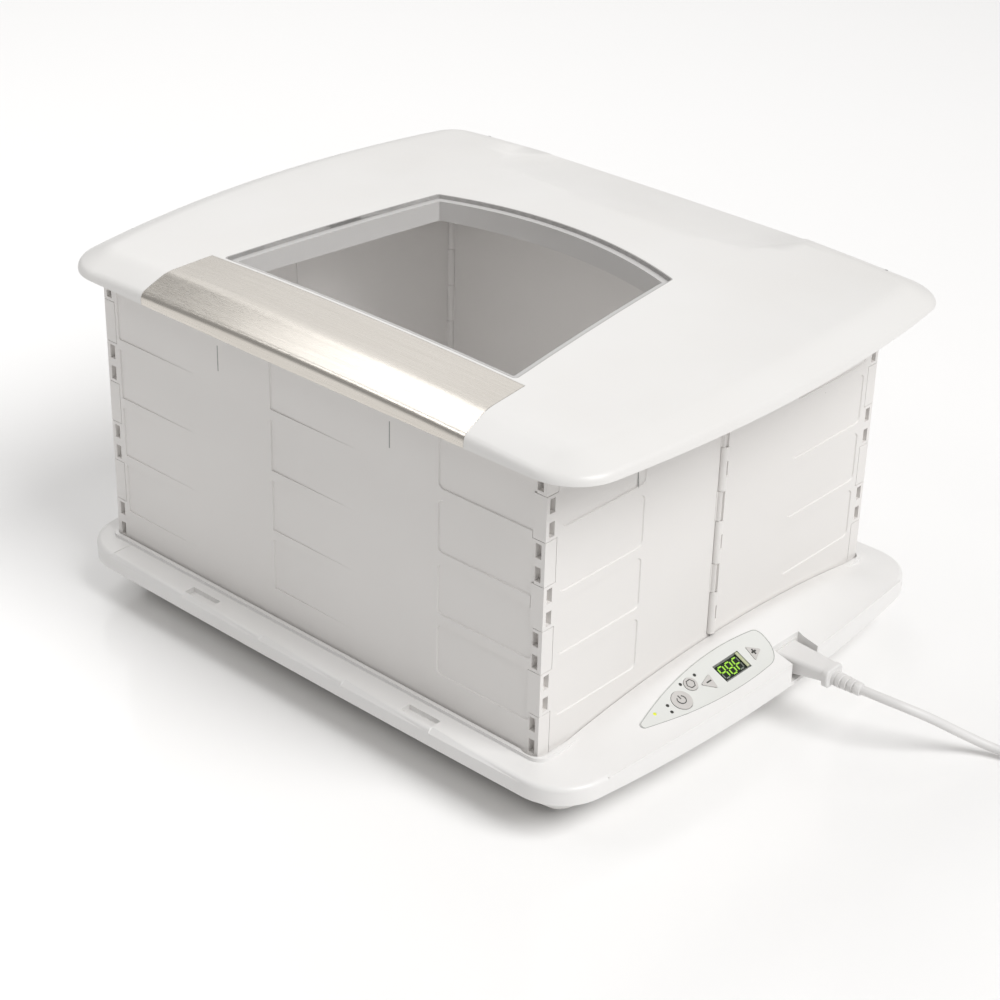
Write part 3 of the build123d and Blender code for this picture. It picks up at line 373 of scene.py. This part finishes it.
def makeSurroundings():
    world = bpy.data.worlds.new("sky")
    world.use_nodes = True
    back = world.node_tree.nodes["Background"]
    back.inputs[0].default_value = (*sky["colour"], 1)
    back.inputs[1].default_value = sky["strength"]
    bpy.context.scene.world = world
    bpy.context.scene.view_settings.view_transform = "Standard"
    half = floorLook["size"] / 2
    mesh = bpy.data.meshes.new("floor")
    corners = [(-half, -half, 0), (half, -half, 0), (half, half, 0), (-half, half, 0)]
    mesh.from_pydata(corners, [], [(0, 1, 2, 3)])
    floor = bpy.data.objects.new("floor", mesh)
    bpy.context.scene.collection.objects.link(floor)
    s = Shader("floorWhite")
    mesh.materials.append(s.finish({
        "Base Color": floorLook["colour"],
        "Roughness": s.spread(s.noise(2.0, 3.0), floorLook["gloss"][0], floorLook["gloss"][1]),
    }))


makeCamera()
makeLights()
makeChamberLight()
makeSurroundings()
print("camera, lights and floor placed")


cordLook = {"radius": 0.003, "length": 1.5}
coil = {"centre": (0.416, 0.117), "inner": 0.0271, "outer": 0.0389, "turnsDown": 3.2, "turnsUp": 3.0}
cordRoute = [
    (0.2675, 0.033, 0.040), (0.293, 0.039, 0.037), (0.309, 0.052, 0.0285), (0.322, 0.067, 0.0165),
    (0.337, 0.080, 0.0065), (0.358, 0.087, 0.0032), (0.382, 0.0855, 0.0031),
]
tailRoute = [(0.4485, 0.138, 0.0031), (0.441, 0.157, 0.003), (0.428, 0.171, 0.006)]


def coilPoints():
    # Two layers of turns: the lower one winds inwards, and the upper one back outwards.
    start = math.radians(-106)
    down, up = coil["turnsDown"] * 2 * math.pi, coil["turnsUp"] * 2 * math.pi
    step = 2 * math.pi / 14
    turn = np.arange(0, down + up, step)
    inwards = np.clip(turn / down, 0, 1)
    outwards = np.clip((turn - down) / up, 0, 1)
    radius = coil["outer"] + (coil["inner"] - coil["outer"]) * (inwards - outwards)
    height = 0.0031 + 0.0058 * np.clip((turn - down + 1.5) / 3.0, 0, 1)
    angle = start + turn
    cx, cy = coil["centre"]
    return np.stack([cx + radius * np.cos(angle), cy + radius * np.sin(angle), height], axis=1).tolist()


def makeCord():
    points = [*cordRoute, *coilPoints(), *tailRoute]
    curve = bpy.data.curves.new("powerCord", "CURVE")
    curve.dimensions = "3D"
    curve.bevel_depth = cordLook["radius"]
    curve.bevel_resolution = 5
    curve.use_fill_caps = True
    spline = curve.splines.new("NURBS")
    spline.points.add(len(points) - 1)
    spline.points.foreach_set("co", np.array([(*p, 1.0) for p in points]).ravel())
    spline.order_u = 3
    spline.use_endpoint_u = True
    spline.resolution_u = 6
    cord = bpy.data.objects.new("powerCord", curve)
    bpy.context.scene.collection.objects.link(cord)
    curve.materials.append(materials["cordPlastic"])
    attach(cord, "base")
    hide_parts("power_cord", "cord_coil", "cord_tail")
    steps = np.linalg.norm(np.diff(np.array(points), axis=0), axis=1)
    print("cord points", len(points), "runs add up to", round(float(steps.sum()), 3))


makeCord()
print("cord laid")

def addPiece(name, mesh, body, material):
    piece = bpy.data.objects.new(name, mesh)
    bpy.context.scene.collection.objects.link(piece)
    mesh.materials.clear()
    mesh.materials.append(materials[material])
    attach(piece, body)
    return piece


def gridMesh(name, points, closed):
    # Faces over a grid of points, indexed [along, around]: the way around always closes on
    # itself, and the way along either closes too or ends in two caps.
    countU, countV = points.shape[:2]
    u = np.arange(countU if closed else countU - 1)
    uu, vv = np.meshgrid(u, np.arange(countV), indexing="ij")
    nextU, nextV = (uu + 1) % countU, (vv + 1) % countV
    corners = [uu * countV + vv, nextU * countV + vv, nextU * countV + nextV, uu * countV + nextV]
    faces = np.stack(corners, axis=-1).reshape(-1, 4).tolist()
    if not closed:
        faces.append(np.arange(countV)[::-1].tolist())
        faces.append(((countU - 1) * countV + np.arange(countV)).tolist())
    mesh = bpy.data.meshes.new(name)
    mesh.from_pydata(points.reshape(-1, 3), [], faces)
    mesh.update()
    return mesh


def flatStroke(name, path, normal, width, closed=False):
    # A flat band: at each point of the path a thin rectangle, square to the path, that stands
    # just proud of the surface and reaches a little way under it.
    path = np.asarray(path, float)
    along = np.roll(path, -1, axis=0) - np.roll(path, 1, axis=0)
    if not closed:
        along = np.gradient(path, axis=0)
    side = np.cross(along, normal)
    side *= width / 2 / np.linalg.norm(side, axis=1, keepdims=True)
    proud, under = np.array(normal) * inkRise, np.array(normal) * -inkRise
    ring = [path + side + proud, path - side + proud, path - side + under, path + side + under]
    return gridMesh(name, np.stack(ring, axis=1), closed)


skinLook = {"flatWithin": 0.001, "sharpFrom": 28.0, "steps": 2, "fineJoin": 0.000002}
coarseJoin = {"base_tray": 0.00006, "lid_shell": 0.00006}


def softened(node, edge):
    # A copy of the node, merged into one skin and smooth, with its sharp edges rounded. Flat
    # neighbours are joined into one face first, and faces of many sides are split again.
    mesh = nodes[node].data.copy()
    work = bmesh.new()
    work.from_mesh(mesh)
    join = coarseJoin.get(node, skinLook["fineJoin"])
    bmesh.ops.remove_doubles(work, verts=work.verts, dist=join)
    flat = skinLook["flatWithin"]
    bmesh.ops.dissolve_limit(work, angle_limit=flat, verts=work.verts, edges=work.edges)
    bmesh.ops.triangulate(work, faces=[face for face in work.faces if len(face.verts) > 4])
    work.to_mesh(mesh)
    work.free()
    if "custom_normal" in mesh.attributes:
        mesh.attributes.remove(mesh.attributes["custom_normal"])
    mesh.shade_smooth()
    piece = addPiece(node + "_skin", mesh, bodyOf[node], nodeFinish[node])
    rounding = piece.modifiers.new("rounding", "BEVEL")
    rounding.width = edge
    rounding.segments = skinLook["steps"]
    rounding.limit_method = "ANGLE"
    rounding.angle_limit = math.radians(skinLook["sharpFrom"])
    rounding.harden_normals = True
    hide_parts(node)


nodeFinish = {
    "base_tray": "basePlastic", "bottom_cover": "coverGreyAndShade", "rubber_feet": "footRubber",
    "cover_screws": "platedSteel", "heater_plate": "plateAluminium", "heating_element": "elementRubber",
    "insulation_pad": "padFelt", "temperature_sensor": "platedSteel", "thermal_fuse": "platedSteel",
    "control_panel": "panelPlastic", "display_lens": "lensGlass", "display_module": "blackPlastic",
    "display_digits": "litDigit", "indicator_leds": "litIndicator", "control_board": "boardGreen",
    "board_screws": "platedSteel", "button_switches": "blackPlastic", "power_inlet": "coverGreyAndShade",
    "inlet_pins": "platedBrass", "cord_connector": "cordPlastic", "strain_relief": "cordPlastic",
    "coil_tie": "blackPlastic", "mains_plug": "cordPlastic", "plug_blades": "platedBrass",
    "back_panel": "wallPlastic", "front_panel": "wallPlastic", "right_rear_panel": "wallPlastic",
    "right_front_panel": "wallPlastic", "left_rear_panel": "wallPlastic", "left_front_panel": "wallPlastic",
    "back_right_pin": "platedSteel", "back_left_pin": "platedSteel", "front_right_pin": "platedSteel",
    "front_left_pin": "platedSteel", "right_middle_pin": "platedSteel", "left_middle_pin": "platedSteel",
    "lid_shell": "lidPlastic", "steel_trim": "brushedTrim", "lid_window": "windowGlass",
    "window_gasket": "gasketRubber", "lid_liner": "linerPlastic", "lid_screws": "platedSteel",
    "wire_rack": "rackChrome", "water_tray": "traySteel", "power_button": "buttonPlastic",
    "mode_button": "buttonPlastic", "minus_button": "buttonPlastic", "plus_button": "buttonPlastic",
}

for node, finish in nodeFinish.items():
    nodes[node].data.materials.clear()
    nodes[node].data.materials.append(materials[finish])
print("CAD nodes finished", len(nodeFinish))

roundings = {
    "base_tray": 0.0004, "lid_shell": 0.0004, "steel_trim": 0.0002, "control_panel": 0.0002,
    "front_panel": 0.0003, "back_panel": 0.0003, "right_front_panel": 0.0003,
    "right_rear_panel": 0.0003, "left_front_panel": 0.0003, "left_rear_panel": 0.0003,
    "power_button": 0.0003, "mode_button": 0.0003, "minus_button": 0.0003, "plus_button": 0.0003,
    "cord_connector": 0.0005, "strain_relief": 0.0003, "water_tray": 0.0002,
}
for node, edge in roundings.items():
    softened(node, edge)
print("skins softened", len(roundings))


inkRise, castReach, aboveLedge = 0.00003, 0.02, 0.06
slope = {
    "across": np.array([0.0, 1.0, 0.0]),
    "up": np.array([-0.883, 0.0, 0.469]),
    "out": np.array([0.469, 0.0, 0.883]),
}


def landed(node, points, out):
    # Each point dropped against the out direction onto the node's surface.
    mesh = nodes[node].data
    places = [vertex.co for vertex in mesh.vertices]
    tree = BVHTree.FromPolygons(places, [tuple(face.vertices) for face in mesh.polygons])
    away = Vector(out)
    return np.array([tree.ray_cast(Vector(p) + away * castReach, -away)[0] for p in points])


def onSlope(node, centre, spots):
    # Spots across and up the slope from a centre in plan, laid on the node.
    heart = landed(node, [(*centre, aboveLedge)], (0, 0, 1))[0]
    spots = np.asarray(spots, float)
    points = heart + spots[:, :1] * slope["across"] + spots[:, 1:] * slope["up"]
    return landed(node, points, slope["out"])


def arc(radius, start, stop, count):
    # Points on a circle between two angles in degrees, from across towards up.
    angle = np.radians(np.linspace(start, stop, count))
    return radius * np.stack([np.cos(angle), np.sin(angle)], axis=1)


marks = [
    {"name": "powerRing", "on": "power_button", "centre": (0.2074, -0.0658), "width": 0.0008,
     "spots": arc(0.0029, 125, 415, 25), "ink": "printedInk"},
    {"name": "powerBar", "on": "power_button", "centre": (0.2074, -0.0658), "width": 0.0008,
     "spots": [(0, 0.0006), (0, 0.0036)], "ink": "printedInk"},
    {"name": "modeSign", "on": "mode_button", "centre": (0.2030, -0.0519), "width": 0.0007,
     "spots": arc(0.0030, 0, 300, 6), "ink": "printedInk", "closed": True},
    {"name": "minusBar", "on": "minus_button", "centre": (0.2083, -0.0403), "width": 0.0013,
     "spots": [(-0.0021, 0), (0.0021, 0)], "ink": "printedInk"},
    {"name": "plusBar", "on": "plus_button", "centre": (0.2084, 0.0044), "width": 0.0013,
     "spots": [(-0.0021, 0), (0.0021, 0)], "ink": "printedInk"},
    {"name": "plusPost", "on": "plus_button", "centre": (0.2084, 0.0044), "width": 0.0013,
     "spots": [(0, -0.0021), (0, 0.0021)], "ink": "printedInk"},
    {"name": "lensEdgeStrip", "on": "display_lens", "centre": (0.2080, -0.0069), "width": 0.0024,
     "spots": [(0, -0.0058), (0, 0.0058)], "ink": "lensEdge"},
]

for mark in marks:
    path = onSlope(mark["on"], mark["centre"], mark["spots"])
    mesh = flatStroke(mark["name"], path, slope["out"], mark["width"], mark.get("closed", False))
    addPiece(mark["name"], mesh, bodyOf[mark["on"]], mark["ink"])
print("signs printed", len(marks))


tickWidth = 0.0008
wallTicks = [
    {"name": "frontTickLeft", "on": "front_panel", "out": (0, -1, 0),
     "at": (-0.0900, -0.162), "span": (0.2006, 0.2178)},
    {"name": "frontTickRight", "on": "front_panel", "out": (0, -1, 0),
     "at": (0.0571, -0.162), "span": (0.2017, 0.2190)},
    {"name": "rightTickFront", "on": "right_front_panel", "out": (1, 0, 0),
     "at": (0.1773, -0.0812), "span": (0.1900, 0.2004)},
    {"name": "rightTickRear", "on": "right_rear_panel", "out": (1, 0, 0),
     "at": (0.1773, 0.1049), "span": (0.1850, 0.1912)},
]

for tick in wallTicks:
    ends = [(*tick["at"], height) for height in tick["span"]]
    path = landed(tick["on"], ends, tick["out"])
    mesh = flatStroke(tick["name"], path, tick["out"], tickWidth)
    addPiece(tick["name"], mesh, bodyOf[tick["on"]], "greyInk")
print("wall ticks drawn", len(wallTicks))


def slopeFrame(node):
    # The node's vertices as across, up and out on the slope.
    mesh = nodes[node].data
    flat = np.empty(len(mesh.vertices) * 3)
    mesh.vertices.foreach_get("co", flat)
    return flat.reshape(-1, 3) @ np.stack(list(slope.values()), axis=1)


def offSlope(spots, out):
    # The way back: places in space from across and up, all at one distance out.
    return spots[:, :1] * slope["across"] + spots[:, 1:] * slope["up"] + out * slope["out"]


outlineLook = {"inset": 0.0005, "width": 0.0004}


def makeOutline():
    # The thin joint around the panel: its hull on the slope, drawn in a little and laid on it.
    leaf = slopeFrame("control_panel")
    hull = leaf[convex_hull_2d(leaf[:, :2].tolist())]
    along = np.roll(hull[:, :2], -1, axis=0) - np.roll(hull[:, :2], 1, axis=0)
    along /= np.linalg.norm(along, axis=1, keepdims=True)
    inwards = np.stack([-along[:, 1], along[:, 0]], axis=1)
    spots = hull[:, :2] + outlineLook["inset"] * inwards
    path = landed("control_panel", offSlope(spots, leaf[:, 2].max()), slope["out"])
    mesh = flatStroke("panelOutline", path, slope["out"], outlineLook["width"], True)
    addPiece("panelOutline", mesh, bodyOf["control_panel"], "greyInk")


makeOutline()
print("panel outlined")


digitSize = {
    "middle": -0.0174, "pitch": 0.0070, "width": 0.0044, "height": 0.0084, "bar": 0.0009,
    "flat": 0.0031, "upright": 0.0032,
}
paintedGlowBars = [(-1, 0, -1), (-1, -1, -0.5), (1, 1, 0.5), (1, 1, -0.5), (1, 0, -1)]


def makePaintedGlowBars():
    # Unlit bars of the digits, drawn with a painted glow that stands in for light falling on them: place of
    # the digit, then side and height on it in halves.
    digits = slopeFrame("display_digits")
    middle = (digits[:, 1].min() + digits[:, 1].max()) / 2
    for n, (place, side, height) in enumerate(paintedGlowBars):
        across = digitSize["middle"] + place * digitSize["pitch"] + side * digitSize["width"] / 2
        up = middle + height * digitSize["height"] / 2
        reach = (digitSize["flat"] / 2, 0) if side == 0 else (0, digitSize["upright"] / 2)
        ends = np.array([(across - reach[0], up - reach[1]), (across + reach[0], up + reach[1])])
        path = offSlope(ends, digits[:, 2].max())
        name = "paintedGlowSegment" + str(n + 1)
        mesh = flatStroke(name, path, slope["out"], digitSize["bar"])
        addPiece(name, mesh, bodyOf["display_digits"], "paintedGlowSegment")


makePaintedGlowBars()
print("unlit bars drawn", len(paintedGlowBars))
